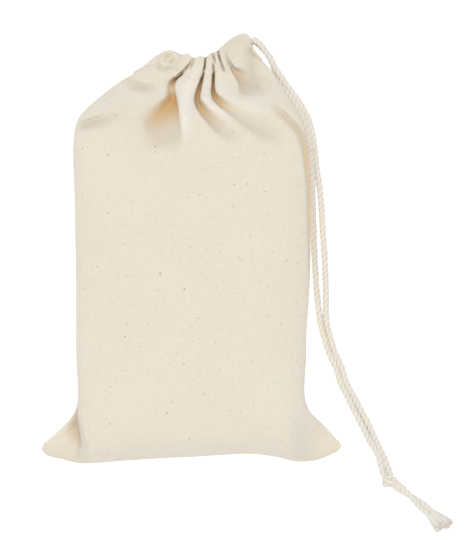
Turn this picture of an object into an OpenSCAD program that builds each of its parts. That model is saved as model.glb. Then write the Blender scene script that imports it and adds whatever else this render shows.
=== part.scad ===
// Fabric gift sack: a small muslin drawstring bag, filled, lying on its back.
// +X is to the right, +Y towards the mouth, +Z up out of the front of the sack.
// The sack stands on z = 0; the origin is under the middle of its outline. Millimetres.

/* [Body] */
// Width of the filled body, side to side
body_w = 77.6; // [76:0.2:79]
// Depth of the filled body, back to front
body_d = 27; // [25:0.5:29]
// Distance between the tips of the two bottom corners
tip_span = 100.2; // [97:0.2:103]
// Thickness of the cloth shell
cloth = 1; // [0.8:0.1:1.2]
// Squareness of the body's cross-section
squareness = 3.5; // [3:0.1:4]

/* [Neck] */
// Height of the side seams over the resting face
seam_h = 13; // [12:0.5:14]
// Height of the outer face where the gathered cloth meets the casing
gather_h = 14.6; // [14:0.2:15.4]
// Gap between the gathered front of the neck and the still cloth round it
lip_gap = 0.4; // [0.3:0.1:0.5]

/* [Casing] */
// Width of the stitched casing strip
casing_w = 9.4; // [9.2:0.1:9.6]
// Thickness of the casing with its two layers of cloth
casing_t = 3.4; // [3.2:0.1:3.6]
// Diameter of the channel that the cord slides in
channel_d = 2.6; // [2.4:0.1:2.8]

/* [Drawstring] */
// Diameter of the cotton cord
cord_d = 2; // [1.8:0.1:2]
// Sides of a cord's tube
cord_sides = 8; // [6:1:10]
// Diameter of a frayed cord end where it is widest
tuft_d = 3; // [2.6:0.1:3]

/* [Hidden] */

cloth_col = [0.93, 0.90, 0.83];
neck_col = [0.88, 0.84, 0.76];
thread_col = [0.97, 0.96, 0.92];
cord_col = [0.85, 0.80, 0.70];

// Layers of cloth at a seam: half of the gap between them, and the thickness of one
seam_gap = 0.1;
ply = 0.8;
// The neck starts here, and the gathered cloth ends here, where its casing starts
neck_y = 42;
gather_end_y = 55.6;
// The sloping cloth on the right of the gathers reaches this far
flank_end_y = 59;
// The bottom corners stand out below this line
ear_root_y = -50;
// Length over which the body rounds off to its bottom seam
bottom_round = 8;
// How far the widest line of the side seams stands out
flange = 0.6;
// Width of a seam's allowance inside the sack, and its distance from the cloth shell
allowance_w = 3.6;
allowance_gap = 0.3;
// Thread of the stitching, and its distance from the casing's edge
stitch_d = 0.4;
stitch_inset = 0.8;

// Outline of the filled body and neck at the height of the side seams
left_edge = [
    [-72, -body_w / 2 + 0.8], [-50, -body_w / 2 + 0.8], [-20, -body_w / 2], [30, -body_w / 2 - 0.4],
    [38, -body_w / 2], [42, -37.8], [46, -35.6], [50, -31.4], [56, -24.4], [60, -18], [65, -10]
];
right_edge = [
    [-72, body_w / 2 - 1.4], [-50, body_w / 2 - 1.4], [-20, body_w / 2 - 0.4], [0, body_w / 2],
    [34, body_w / 2], [38, body_w / 2 - 0.2], [42, 37.6], [46, 35.8], [50, 33.2], [54, 29.8], [58, 26.6],
    [62, 23.4], [65, 21]
];
// Bottom seam, from the left corner's tip to the right one's
bottom_edge = [
    [-50, -68.2], [-44, -70.4], [-38, -71.9], [-24, -70.8], [0, -69.4],
    [20, -68.4], [29, -69.6], [36, -71.2], [42, -70.4], [50, -66.4]
];
// Height of the side seams, and of the outer face of the front
seam_height = [
    [-72, seam_h - 3], [-50, seam_h], [36, seam_h], [44, seam_h - 1.4],
    [50, seam_h - 4], [56, seam_h - 6], [65, seam_h - 8]
];
front_height = [
    [-72, body_d], [32, body_d], [38, body_d - 0.6], [42, body_d - 2], [46, body_d - 4.6],
    [50, body_d - 8], [gather_end_y, gather_h], [65, gather_h - 1]
];

// Rows of the shells: shares of the way from the bottom seam to the corners' root, then heights
corner_rows = [0, 0.02, 0.06, 0.13, 0.22, 0.35, 0.5, 0.75];
body_rows = [ear_root_y, -38, -24, -8, 8, 22, 32, 38, neck_y];
neck_rows = [neck_y, 44, 46, 48, 50, 52, 54, gather_end_y];
// Left of the casing, the neck's cloth goes on up beside it
wing_rows = [gather_end_y + 0.1, 57.4, 59, 60.6, 61.8];
wing_x = -9.4;
// Steps round a row, and the points that each of its two edges adds
arc_steps = 14;
edge_points = 3;

// Angle round the cross-section where the gathers end and the still right side begins
flank_angle = [[neck_y, 38], [50, 50], [gather_end_y, 58], [65, 60]];

// Middle line of the casing strip, from the gathers' left end to the exit, on the front and back
casing_path = [
    [-8.6, 60.4, 11.9], [-4, 60.4, 12], [0, 60.4, 12], [4, 60.4, 12], [8.6, 60.5, 11.9]
];
casing_end_path = [
    [9.3, 60.6, 11.8], [10.8, 60.6, 11.3], [12.4, 61.1, 10.6], [14, 62.1, 9.8], [17, 64.6, 8.1],
    [20.2, 67.2, 6.6]
];
back_path = [[-8.6, 60.4, 2.1], [0, 60.4, 2.1], [8.6, 60.5, 2.1]];
back_end_path = [for (p = casing_end_path) [p[0], p[1], 2.1]];
// The cord's channel runs this far from the strip's middle line, on the mouth's side
channel_shift = 2.8;
// Slope of the casing across its width
casing_slope = -0.12;

// Left end of the drawstring, where it turns from the back of the mouth to the front
left_turn = [
    [-10, 63, 2.5], [-11, 63, 3.6], [-11.4, 63, 5.2], [-11.2, 63, 7], [-10.4, 63, 8.6]
];
// Each strand's route from the exit, over the shoulder, to where the tails can swing
shoulder_a = [
    [21, 69.8, 6.1], [22.8, 68.2, 5.6], [24.4, 66, 5], [26, 64, 4.3], [27.6, 61.4, 3.4], [29.4, 58.6, 2.4],
    [31.4, 55.6, 1.5], [34.2, 52, 1.1], [37, 47.8, 1.1], [38.9, 43.9, 1.1], [40, 39.9, 1.1], [40.9, 35, 1.1]
];
shoulder_b = [
    [20.8, 69.3, 2.2], [22.4, 67.6, 2.6], [23.8, 65.6, 2.7], [24.4, 63, 2.6], [25.5, 60.8, 3],
    [27.5, 58.6, 3.6], [30, 55.4, 3.4], [33, 51.8, 3.2], [35.9, 47.6, 3], [37.8, 43.8, 3],
    [39, 39.8, 3], [39.8, 35, 3]
];
// Each tail's route along the surface, down to the knot
tail_a = [
    [41.1, 33.4, 1.1], [41.5, 29, 1.1], [42.3, 22, 1.1], [43.1, 15, 1.1], [43.8, 8, 1.1], [44.4, 0, 1.1],
    [45, -8, 1.1], [45.2, -16, 1.1], [45.6, -24, 1.1], [46.6, -31, 1.1], [48.4, -36, 1.1], [50.5, -41, 1.1],
    [52.7, -46, 1.1], [55, -51, 1.1], [57.6, -56, 1.1], [60.2, -61, 1.1], [62.7, -66, 1.1],
    [64.8, -70.6, 1.3], [66.3, -74.6, 1.9]
];
tail_b = [
    [39.9, 33.4, 3], [40.2, 29, 2.8], [40.5, 22, 2], [40.7, 15, 1.1], [40.8, 8, 1.1], [40.9, 0, 1.1],
    [41.2, -8, 1.1], [41.9, -16, 1.1], [42.8, -24, 1.1], [44.2, -31, 1.1], [46, -36, 1.1], [48.1, -41, 1.1],
    [50.3, -46, 1.1], [52.6, -51, 1.1], [55.2, -56, 1.1], [57.8, -61, 1.1], [60.3, -66, 1.1],
    [62.6, -71.2, 1.3], [64.4, -75.5, 1.9]
];
knot_at = [66.5, -77.6];
// The short ends past the knot, and where their frayed tips end
end_a = [[69.5, -78.7, 1.9], [72.4, -81, 1.4], [75.5, -83.5, 1.1], [78.6, -86, 1.1], [81.7, -88.5, 1.1]];
end_b = [[68.2, -80.3, 1.9], [71.1, -82.6, 1.4], [74.2, -85.1, 1.1], [77.3, -87.6, 1.1], [80.4, -90.1, 1.1]];
tip_a = [85.6, -91.1, 1.7];
tip_b = [83.6, -93.4, 1.7];

function mix(a, b, t) = a + (b - a) * t;
function steps(a, b, n) = [for (i = [0:n]) mix(a, b, i / n)];
function power(v, e) = sign(v) * pow(abs(v), e);

// A row is [share of the corner zone, height]; above the corners the share is 1
function corner_row(t) = [t, ear_root_y];
function plain_row(y) = [1, y];
function row_y(row, x) = row[0] < 1 ? mix(lookup(x, bottom_edge), ear_root_y, row[0]) : row[1];
function row_ref(row) = row[0] < 1 ? mix(-70, ear_root_y, row[0]) : row[1];

// How much of the full depth a row has, as the body rounds off to the bottom seam
function rounding(row, inset) =
    let (
        run = (row_ref(row) + 70 - inset) / bottom_round,
        t = max(0, min(1, run))
    )
    pow(1 - pow(1 - t, 2.5), 1 / 2.5);

// Point on the outer (inset 0) or inner face at an angle round the cross-section:
// 180 is the left seam, 0 the right one; side is 1 on the front and -1 on the back
function arc_point(row, angle, side, inset) =
    let (
        y0 = row_ref(row),
        xl = lookup(y0, left_edge) + inset,
        xr = lookup(y0, right_edge) - inset,
        zs = lookup(y0, seam_height),
        e = 2 / squareness,
        x = mix(xl, xr, 0.5 + 0.5 * power(cos(angle), e)),
        rise = rounding(row, inset) * pow(max(0, sin(angle)), e),
        lift = seam_gap + (inset > 0 ? 0 : ply),
        front_z = zs + lift + (lookup(y0, front_height) - zs - lift - inset) * rise,
        back_z = max(inset, zs - lift - (zs + 1.4 - lift) * rise)
    )
    [x, row_y(row, x), side > 0 ? front_z : back_z];

// Point on a bottom corner or a seam's edge: t is 0 at the body and 1 at the outer edge
function edge_point(row, end, t, side, inset) =
    let (
        y0 = row_ref(row),
        x0 = lookup(y0, end < 0 ? left_edge : right_edge),
        zs = lookup(y0, seam_height),
        tip_x = end * tip_span / 2,
        tip_y = lookup(tip_x, bottom_edge),
        root_x = lookup(ear_root_y, end < 0 ? left_edge : right_edge) + end * flange,
        out_x = row[0] < 1 ? mix(tip_x, root_x, row[0]) : x0 + end * flange,
        out_y = row[0] < 1 ? mix(tip_y, ear_root_y, row[0]) : y0,
        out_z = row[0] < 1 ? mix(3, seam_h, row[0]) : zs,
        lift = seam_gap + (inset > 0 ? 0 : ply)
    )
    [mix(x0, out_x, t), mix(row_y(row, x0), out_y, t), mix(zs, out_z, t) + side * lift];

// One row of points. A row that starts at 180 or ends at 0 has that side's edge as well, and
// a row that does not has as many more points on its arc, so that all rows of a shell match.
function row_points(row, from, to, side, inset) =
    let (
        left = from > 179,
        right = to < 1,
        arc = steps(from, to, arc_steps + (left ? 0 : edge_points - 1) + (right ? 0 : edge_points - 1))
    )
    concat(
        left ? [for (t = [1, 0.5, 0]) edge_point(row, -1, t, side, inset)] : [],
        [for (a = arc) if (a < 179 && a > 1) arc_point(row, a, side, inset)],
        right ? [for (t = [0, 0.5, 1]) edge_point(row, 1, t, side, inset)] : []
    );

// Angle round a row's cross-section at which the left part of the neck ends, beside the casing
function wing_angle(row) =
    let (
        xl = lookup(row[1], left_edge),
        xr = lookup(row[1], right_edge)
    )
    acos(power(2 * (wing_x - xl) / (xr - xl) - 1, squareness / 2));

// A thin shell between two grids of points that share their rows and columns
module shell(outer, inner, up) {
    rows = len(outer);
    cols = len(outer[0]);
    half = rows * cols;
    points = [for (grid = [outer, inner]) for (row = grid) for (p = row) p];
    function quad(a, b, c, d) = up > 0 ? [[a, b, c], [a, c, d]] : [[a, c, b], [a, d, c]];
    faces = [
        for (r = [0:rows - 2]) for (c = [0:cols - 2])
            let (a = r * cols + c, b = a + 1, d = a + cols, e = d + 1)
            for (f = concat(quad(a, d, e, b), quad(a + half, b + half, e + half, d + half))) f,
        for (r = [0:rows - 2]) for (c = [0, cols - 1])
            let (a = r * cols + c, d = a + cols)
            for (f = c == 0 ? quad(a, a + half, d + half, d) : quad(a, d, d + half, a + half)) f,
        for (c = [0:cols - 2]) for (r = [0, rows - 1])
            let (a = r * cols + c, b = a + 1)
            for (f = r == 0 ? quad(a, b, b + half, a + half) : quad(a, a + half, b + half, b)) f
    ];
    polyhedron(points, faces, convexity = 6);
}

// A panel made from rows; from and to give the angles at which a row starts and ends
module panel(rows, side, from, to) {
    outer = [for (r = rows) row_points(r, from(r), to(r), side, 0)];
    inner = [for (r = rows) row_points(r, from(r), to(r), side, cloth)];
    shell(outer, inner, side);
}

function unit(v) = v / norm(v);
function tangent(path, i) = unit(path[min(i + 1, len(path) - 1)] - path[max(i - 1, 0)]);
function across(path, i) = let (t = tangent(path, i)) unit([-t[1], t[0], 0]);
function shifted(path, d, slope) = [
    for (i = [0:len(path) - 1]) path[i] + d * across(path, i) + [0, 0, d * slope]
];

// A closed skin over rings that have the same number of points
module skin(rings) {
    n = len(rings[0]);
    last = len(rings) - 1;
    points = [for (ring = rings) for (p = ring) p];
    faces = concat(
        [[for (k = [0:n - 1]) k]],
        [for (i = [0:last - 1]) for (k = [0:n - 1])
            let (a = i * n + k, b = i * n + (k + 1) % n)
            for (f = [[a, a + n, b + n], [a, b + n, b]]) f],
        [[for (k = [n - 1:-1:0]) last * n + k]]
    );
    polyhedron(points, faces, convexity = 8);
}

// A round tube along a route, with one ring at each of its points, of that point's diameter
module skin_tube(path, widths) {
    rings = [
        for (i = [0:len(path) - 1])
            let (
                t = tangent(path, i),
                u = unit(cross(t, [0, 0, 1])),
                v = cross(t, u)
            )
            [for (k = [0:cord_sides - 1])
                let (a = 360 * (k + 0.5) / cord_sides)
                path[i] + widths[i] / 2 * (cos(a) * u + sin(a) * v)]
    ];
    skin(rings);
}

module tube(path, d) {
    skin_tube(path, [for (p = path) d]);
}

// A flat strip along a path, with its channel cut out
module strip(path, w, t, slope) {
    rings = [
        for (i = [0:len(path) - 1])
            let (n = across(path, i), side = w / 2 * (n + [0, 0, slope]), up = [0, 0, t / 2])
            [path[i] - side - up, path[i] + side - up, path[i] + side + up, path[i] - side + up]
    ];
    skin(rings);
}

// A path carried on past both of its ends
function past_ends(path, d) = concat(
    [path[0] - d * tangent(path, 0)],
    path,
    [path[len(path) - 1] + d * tangent(path, len(path) - 1)]
);

module casing(path, slope) {
    difference() {
        strip(path, casing_w, casing_t, slope);
        tube(past_ends(shifted(path, channel_shift, slope), 1), channel_d);
    }
}

module front_panel() {
    rows = concat([for (t = corner_rows) corner_row(t)], [for (y = body_rows) plain_row(y)]);
    color(cloth_col) panel(rows, 1, function (r) 180, function (r) 0);
}

module back_panel() {
    rows = concat(
        [for (t = corner_rows) corner_row(t)],
        [for (y = body_rows) plain_row(y)],
        [for (y = concat(neck_rows, wing_rows)) if (y > neck_y) plain_row(y)]
    );
    to = function (r) r[1] > gather_end_y ? wing_angle(r) : 0;
    color(cloth_col) panel(rows, -1, function (r) 180, to);
}

// The front of the neck, which lifts when the mouth is opened
module front_gather() {
    rows = [for (y = concat(neck_rows, wing_rows)) plain_row(y > neck_y ? y : y + lip_gap)];
    to = function (r) r[1] > gather_end_y ? wing_angle(r) : lookup(r[1], flank_angle) + 3;
    color(neck_col) panel(rows, 1, function (r) 180, to);
}

// The right side of the neck, which stays down under the cord
module right_flank() {
    rows = [for (y = concat(neck_rows, [flank_end_y])) plain_row(y > neck_y ? y : y + seam_gap)];
    from = function (r) lookup(r[1], flank_angle);
    color(neck_col) panel(rows, 1, from, function (r) 0);
}

module front_casing() {
    color(neck_col) casing(casing_path, casing_slope);
}

module front_casing_end() {
    color(neck_col) casing(casing_end_path, casing_slope);
}

module back_casing() {
    color(neck_col) casing(back_path, 0);
}

module back_casing_end() {
    color(neck_col) casing(back_end_path, 0);
}

// Inside allowance of a side seam
module side_seam(end) {
    edge = end < 0 ? left_edge : right_edge;
    x_in = cloth + allowance_gap + allowance_w / 2;
    path = [
        for (y = [-60, -50, -30, -10, 10, 30, 38])
            [lookup(y, edge) - end * x_in, y, lookup(y, seam_height)]
    ];
    color(thread_col) strip(path, allowance_w, ply, 0);
}

module left_seam() {
    side_seam(-1);
}

module right_seam() {
    side_seam(1);
}

module bottom_seam() {
    y_in = cloth + allowance_gap + allowance_w / 2;
    path = [for (x = [-32:8:32]) [x, lookup(x, bottom_edge) + y_in, lookup(-70, seam_height)]];
    color(thread_col) strip(path, allowance_w, ply, 0);
}

// Point at a share of the way along a path
function point_on(path, t) =
    let (s = t * (len(path) - 1), i = min(floor(s), len(path) - 2))
    mix(path[i], path[i + 1], s - i);

// A row of stitches on the casing's outer face, along its lower edge
module stitches(path, slope, height, count) {
    line = [for (p = shifted(path, -casing_w / 2 + stitch_inset, slope)) p + [0, 0, height]];
    for (k = [0:count - 1])
        tube([point_on(line, (k + 0.12) / count), point_on(line, (k + 0.88) / count)], stitch_d);
}

module front_casing_stitching() {
    color(thread_col) stitches(casing_path, casing_slope, casing_t / 2 + stitch_d / 2, 7);
}

module casing_end_stitching() {
    color(thread_col) stitches(casing_end_path, casing_slope, casing_t / 2 + stitch_d / 2, 5);
}

module back_casing_stitching() {
    color(thread_col) stitches(back_path, 0, casing_t / 2 + stitch_d / 2, 7);
}

// Bar of thread that closes the side seam under the exit
module exit_bartack() {
    color(thread_col) translate([21, 59.4, 3.4]) cube([2.4, 2.4, 3.4]);
}

module drawstring_front_run() {
    color(cord_col) tube(shifted(casing_path, channel_shift, casing_slope), cord_d);
}

module drawstring_back_run() {
    run = shifted(back_path, channel_shift, 0);
    back_to_left = concat([for (i = [len(run) - 1:-1:0]) run[i]], left_turn);
    color(cord_col) tube(back_to_left, cord_d);
}

module shoulder_strand_a() {
    color(cord_col) tube(concat(shifted(casing_end_path, channel_shift, casing_slope), shoulder_a), cord_d);
}

module shoulder_strand_b() {
    color(cord_col) tube(concat(shifted(back_end_path, channel_shift, 0), shoulder_b), cord_d);
}

module tail_strand_a() {
    color(cord_col) tube(tail_a, cord_d);
}

module tail_strand_b() {
    color(cord_col) tube(tail_b, cord_d);
}

// Overhand knot, drawn tight: two turns of cord round a core
module tail_knot() {
    turn_r = 1.6;
    color(cord_col) translate([knot_at[0], knot_at[1], 0]) {
        for (z = [1.1, 2.7])
            translate([0, 0, z]) rotate_extrude($fn = 32) translate([turn_r, 0]) circle(d = cord_d);
        translate([0, 0, 0.4]) cylinder(r = turn_r, h = 3, $fn = 32);
    }
}

module end_strand_a() {
    color(cord_col) tube(end_a, cord_d);
}

module end_strand_b() {
    color(cord_col) tube(end_b, cord_d);
}

// Frayed end: it opens out from the cord to its tip
module tuft(from, to) {
    color(cord_col) skin_tube([from + 0.2 * unit(to - from), to], [cord_d, tuft_d]);
}

module end_tuft_a() {
    tuft(end_a[len(end_a) - 1], tip_a);
}

module end_tuft_b() {
    tuft(end_b[len(end_b) - 1], tip_b);
}

front_panel();
back_panel();
right_flank();
front_gather();
front_casing();
back_casing();
front_casing_end();
back_casing_end();
left_seam();
right_seam();
bottom_seam();
front_casing_stitching();
back_casing_stitching();
casing_end_stitching();
exit_bartack();
drawstring_front_run();
drawstring_back_run();
shoulder_strand_a();
shoulder_strand_b();
tail_strand_a();
tail_strand_b();
tail_knot();
end_strand_a();
end_strand_b();
end_tuft_a();
end_tuft_b();
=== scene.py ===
"""Fabric gift sack: a filled muslin drawstring bag lying on its back, seen from straight above.
Lengths are millimetres in the row frame, and become metres where a mesh is made."""
import math

import bpy
import numpy as np
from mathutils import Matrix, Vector
from numpy.linalg import norm


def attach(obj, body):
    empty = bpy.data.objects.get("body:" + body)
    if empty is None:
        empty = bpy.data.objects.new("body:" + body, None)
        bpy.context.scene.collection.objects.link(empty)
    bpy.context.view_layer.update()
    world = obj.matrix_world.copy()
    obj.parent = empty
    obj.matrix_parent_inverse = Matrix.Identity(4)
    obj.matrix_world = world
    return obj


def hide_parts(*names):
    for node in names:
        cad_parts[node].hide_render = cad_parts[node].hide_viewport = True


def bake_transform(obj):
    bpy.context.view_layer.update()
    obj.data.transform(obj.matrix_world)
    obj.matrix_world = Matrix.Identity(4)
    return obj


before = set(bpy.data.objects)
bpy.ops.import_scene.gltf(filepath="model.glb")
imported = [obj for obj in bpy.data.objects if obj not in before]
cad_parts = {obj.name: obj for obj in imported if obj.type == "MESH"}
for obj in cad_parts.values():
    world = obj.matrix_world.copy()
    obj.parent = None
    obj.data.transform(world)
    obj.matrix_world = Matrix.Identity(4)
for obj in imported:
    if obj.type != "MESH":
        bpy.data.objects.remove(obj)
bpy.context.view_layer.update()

MM = 0.001
# Driving sizes, as in the CAD model: cord, root of the bottom corners, base of the neck, cloth
CORD_D = 2.0
EAR_ROOT_Y = -50.0
NECK_Y = 42.0
CLOTH_T = 0.5


def new_object(name, data):
    made = bpy.data.objects.new(name, data)
    bpy.context.scene.collection.objects.link(made)
    return made


# ---- camera and light ----
def make_camera():
    data = bpy.data.cameras.new("camera")
    data.lens = 237.0
    data.clip_end = 10.0
    camera = new_object("camera", data)
    camera.location = (0.0151, -0.0070, 1.2)
    bpy.context.scene.camera = camera


def make_lights():
    """A bright even surround, as in a light tent, and a broad soft light from nearly behind the camera."""
    world = bpy.data.worlds.new("studio")
    world.use_nodes = True
    background = world.node_tree.nodes["Background"]
    background.inputs["Color"].default_value = (0.995, 1.0, 1.065, 1)
    background.inputs["Strength"].default_value = 0.665
    bpy.context.scene.world = world
    data = bpy.data.lights.new("key", "SUN")
    data.energy = 1.23
    data.angle = math.radians(28)
    data.color = (1.0, 0.98, 0.87)
    light = new_object("key", data)
    light.rotation_euler = Vector((0.05, -0.03, -1.0)).to_track_quat("-Z", "Y").to_euler()
    bpy.context.scene.view_settings.view_transform = "Standard"


# ---- node helpers ----
class Nodes:
    """Adds and links shader nodes; add takes a node's kind without ShaderNode in front of it."""

    def __init__(self, material):
        self.tree = material.node_tree
        self.shader = self.tree.nodes["Principled BSDF"]

    def add(self, kind, inputs=(), **settings):
        node = self.tree.nodes.new("ShaderNode" + kind)
        for key, value in settings.items():
            setattr(node, key, value)
        for key, value in dict(inputs).items():
            self.put(node.inputs[key], value)
        return node

    def put(self, socket, value):
        if isinstance(value, bpy.types.NodeSocket):
            self.tree.links.new(value, socket)
        else:
            socket.default_value = value

    def maths(self, operation, a, b=0.0, clamp=False):
        node = self.add("Math", {0: a, 1: b}, operation=operation, use_clamp=clamp)
        return node.outputs[0]

    def times(self, a, b, clamp=False):
        return self.maths("MULTIPLY", a, b, clamp)

    def noise(self, vector, scale, detail, rough=0.55):
        inputs = {"Vector": vector, "Scale": scale, "Detail": detail, "Roughness": rough}
        return self.add("TexNoise", inputs).outputs["Fac"]

    def mix(self, factor, a, b):
        node = self.add("Mix", data_type="RGBA")
        self.put(node.inputs[0], factor)
        self.put(node.inputs[6], a)
        self.put(node.inputs[7], b)
        return node.outputs[2]

    def uv_map(self, name):
        return self.add("UVMap", uv_map=name).outputs["UV"]

    def split(self, vector):
        return self.add("SeparateXYZ", {"Vector": vector}).outputs

    def vector(self, operation, a, b):
        return self.add("VectorMath", {0: a, 1: b}, operation=operation).outputs[0]

    def shaken(self, vector, scale, detail, centre, reach):
        """A vector moved about by coloured noise; where the noise's value is centre, it stays."""
        noise = self.add("TexNoise", {"Vector": vector, "Scale": scale, "Detail": detail})
        shift = self.vector("SUBTRACT", noise.outputs["Color"], (centre,) * 3)
        return self.vector("ADD", vector, self.vector("MULTIPLY", shift, (reach,) * 3))

    def scaled(self, vector, scale):
        return self.add("Mapping", {"Vector": vector, "Scale": scale}).outputs[0]


def new_material(name, rough, sheen, others=()):
    """A matt material, with any other values that its shader takes, and the helper for its nodes."""
    material = bpy.data.materials.new(name)
    material.use_nodes = True
    n = Nodes(material)
    values = {"Roughness": rough, "Specular IOR Level": 0.2, "Sheen Weight": sheen, "Sheen Roughness": 0.6}
    values.update(others)
    for key, value in values.items():
        n.put(n.shader.inputs[key], value)
    return material, n


def bump(n, height, strength, distance, before=None):
    inputs = {"Height": height, "Strength": strength, "Distance": distance}
    if before is not None:
        inputs["Normal"] = before
    return n.add("Bump", inputs).outputs["Normal"]


MUSLIN = (0.850, 0.790, 0.672, 1)
MUSLIN_DEEP = (0.765, 0.685, 0.545, 1)
FLECK = (0.200, 0.125, 0.065, 1)
# Painted light on the cloth: painted shade in a fold, warm painted shade deep in a fold, and a painted
# highlight on a crest between folds
MUSLIN_SHADE = (0.700, 0.632, 0.532, 1)
MUSLIN_WARM_SHADE = (0.765, 0.540, 0.275, 1)
MUSLIN_LIT = (0.895, 0.840, 0.745, 1)
SHADE_STRENGTH = 0.85
# Painted light: fold depth of full shade, depth where warm shade starts and how far it grows, crest height of
# full highlight
SHADE_FULL, WARM_SHADE_FROM, WARM_SHADE_FULL, CREST_FULL = 1.8, 0.4, 5.0, 1.1
# Width of one thread of the weave
THREAD = 0.42
# Cotton cord and sewing thread: two tones of the fibres, and the painted shade of the groove between the
# plies
CORD_TONES = ((0.890, 0.853, 0.790, 1), (0.800, 0.750, 0.668, 1), (0.705, 0.645, 0.550, 1))
THREAD_TONES = ((0.850, 0.795, 0.690, 1), (0.760, 0.690, 0.570, 1), (0.6, 0.5, 0.4, 1))
# Seed flecks: cells per mm, stretch along the threads, share of the cells, greatest radius in mm, strength
FLECKS = (
    (0.190, (1.0, 0.6, 1), 0.50, 0.28, 0.34),
    (0.420, (0.7, 1.0, 1), 0.42, 0.20, 0.26),
    (0.075, (0.9, 0.9, 1), 0.40, 0.30, 0.46),
)


def muslin(name, uv_name=None):
    """Unbleached plain weave, with slubs and seed flecks. Its UV map is in millimetres along the threads;
    a piece with no such map takes its own coordinates instead."""
    material, n = new_material(name, 0.92, 0.15)
    if uv_name:
        uv = n.uv_map(uv_name)
    else:
        uv = n.scaled(n.add("TexCoord").outputs["Object"], (1000, 1000, 1000))
    threads = n.split(n.shaken(uv, 0.55, 3.0, 0.5, 0.55))
    warp = n.maths("SINE", n.times(threads["X"], math.pi / THREAD))
    weft = n.maths("SINE", n.times(threads["Y"], math.pi / THREAD))
    over = n.maths("GREATER_THAN", n.times(warp, weft), 0.0)
    both = n.add("Mix", {0: over, 2: n.maths("ABSOLUTE", warp), 3: n.maths("ABSOLUTE", weft)})
    weave = both.outputs[0]
    slub_u = n.noise(n.scaled(uv, (2.2, 0.13, 1)), 1.0, 2.0)
    slub_v = n.noise(n.scaled(uv, (0.13, 2.2, 1)), 1.0, 2.0)
    slubs = n.maths("SUBTRACT", n.maths("ADD", slub_u, slub_v), 1.0)
    fine = n.maths("SUBTRACT", n.noise(uv, 2.6, 4.0, 0.6), 0.5)
    mottle = n.maths("SUBTRACT", n.noise(uv, 0.85, 3.0), 0.5)
    cloud = n.maths("SUBTRACT", n.noise(uv, 0.045, 3.0), 0.5)
    tone = n.maths("SUBTRACT", 0.50, n.times(weave, 0.22))
    for part, weight in ((slubs, 0.40), (fine, 1.60), (mottle, 1.00), (cloud, 0.75)):
        tone = n.maths("ADD", tone, n.times(part, weight))
    colour = n.mix(n.maths("ADD", tone, 0.0, clamp=True), MUSLIN, MUSLIN_DEEP)
    if uv_name:
        # Painted highlight on the crests, painted shade in the folds and warm painted shade deep in them
        fold = n.split(n.uv_map("fold"))
        colour = n.mix(n.times(fold["X"], -1.0, clamp=True), colour, MUSLIN_LIT)
        colour = n.mix(n.times(fold["X"], SHADE_STRENGTH, clamp=True), colour, MUSLIN_SHADE)
        colour = n.mix(fold["Y"], colour, MUSLIN_WARM_SHADE)
    ragged = n.shaken(uv, 2.4, 2.0, 0.0, 0.9)
    for scale, stretch, share, radius, strength in FLECKS:
        inputs = {"Vector": n.scaled(ragged, stretch), "Scale": scale}
        cell = n.add("TexVoronoi", inputs, voronoi_dimensions="2D")
        chosen = n.add("SeparateColor", {"Color": cell.outputs["Color"]})
        size = n.times(n.maths("ADD", chosen.outputs["Green"], 0.45), radius * scale / 1.45)
        spot = n.maths("LESS_THAN", cell.outputs["Distance"], size)
        kept = n.times(spot, n.maths("LESS_THAN", chosen.outputs["Red"], share))
        depth = n.times(kept, n.maths("ADD", 0.35, chosen.outputs["Blue"]))
        colour = n.mix(n.times(depth, strength, clamp=True), colour, FLECK)
    n.put(n.shader.inputs["Base Color"], colour)
    low = bump(n, n.maths("ADD", slubs, n.times(fine, 1.2)), 0.5, 0.00022)
    n.put(n.shader.inputs["Normal"], bump(n, weave, 0.35, 0.00010, low))
    return material


def cotton(name, colour, deep, groove):
    """Twisted cotton: soft fibres that run along each ply, and painted shade in a line between the plies."""
    material, n = new_material(name, 0.95, 0.2)
    uv = n.uv_map("cloth")
    between = n.split(n.uv_map("fold"))["X"]
    fibres = n.noise(n.scaled(uv, (3.2, 0.5, 1)), 1.6, 4.0, 0.65)
    cloud = n.noise(uv, 0.35, 2.0)
    tone = n.maths("ADD", n.times(fibres, 0.75), n.times(cloud, 0.5), clamp=True)
    # Painted shade in the groove between the plies
    n.put(n.shader.inputs["Base Color"], n.mix(between, n.mix(tone, colour, deep), groove))
    n.put(n.shader.inputs["Normal"], bump(n, fibres, 0.4, 0.00014))
    return material


# ---- curves and grids ----
def smooth_table(points):
    """A smooth function through (x, y) points, with no overshoot."""
    x, y = np.array(points, float).T
    step = np.diff(x)
    slope = np.diff(y) / step
    tangent = np.zeros(len(x))
    same = slope[:-1] * slope[1:] > 0
    tangent[1:-1][same] = 2 * slope[:-1][same] * slope[1:][same] / (slope[:-1] + slope[1:])[same]
    tangent[0], tangent[-1] = slope[0], slope[-1]

    def at(value):
        value = np.clip(value, x[0], x[-1])
        i = np.clip(np.searchsorted(x, value, "right") - 1, 0, len(step) - 1)
        t = (value - x[i]) / step[i]
        return (
            y[i] * (1 + 2 * t) * (1 - t) ** 2 + tangent[i] * step[i] * t * (1 - t) ** 2
            + y[i + 1] * t * t * (3 - 2 * t) + tangent[i + 1] * step[i] * t * t * (t - 1)
        )
    return at


def running(steps):
    """The sum of the steps up to each place, from 0 on."""
    return np.concatenate([[0], np.cumsum(steps)])


def lengths_along(line):
    return running(norm(np.diff(line[:, :3], axis=0), axis=1))


def between(t, t0, t1, a, b):
    """The point at t on the straight line from a at t0 to b at t1."""
    return (t1 - t) / (t1 - t0) * a + (t - t0) / (t1 - t0) * b


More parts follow.
